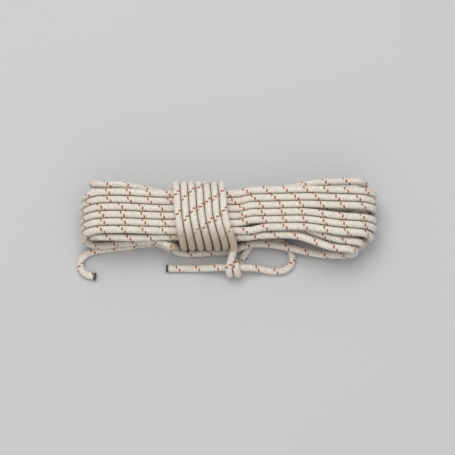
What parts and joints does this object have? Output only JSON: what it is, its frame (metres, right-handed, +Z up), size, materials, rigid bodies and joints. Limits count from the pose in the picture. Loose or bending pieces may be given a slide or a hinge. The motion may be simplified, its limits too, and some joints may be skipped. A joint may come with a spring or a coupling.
{
  "type": "dynamic climbing rope",
  "caption": "Kernmantle climbing rope put away as a hank: long flat loops drawn in at the waist by close turns of the rope's own end, hitched in front, with both ends sealed.",
  "frame": {"origin": "on the ground, under the middle of the whole rope", "axes": "+X along the hank to the end away from the waist turns, +Y to its back, away from the knot, +Z up"},
  "size_m": [0.4428, 0.1481, 0.0823],
  "materials": {
    "sheath": "braided polyamide, matt, off-white with a red-orange tracer yarn",
    "core": "twisted polyamide strands, white, slightly shiny",
    "seal": "melted and capped rope end, dark, satin"
  },
  "bodies": {
    "root": {"hank_loops": "sheath", "waist_wraps": "sheath", "hitch_turns": "sheath", "starting_end": "sheath", "lead_to_wraps": "sheath", "tie_off": "sheath", "slack_bight": "sheath", "finishing_end": "sheath", "core_strand_1": "core", "core_strand_2": "core", "core_strand_3": "core", "core_strand_4": "core", "core_strand_5": "core", "core_strand_6": "core", "core_strand_7": "core", "start_seal": "seal", "finish_seal": "seal"}
  },
  "joints": []
}
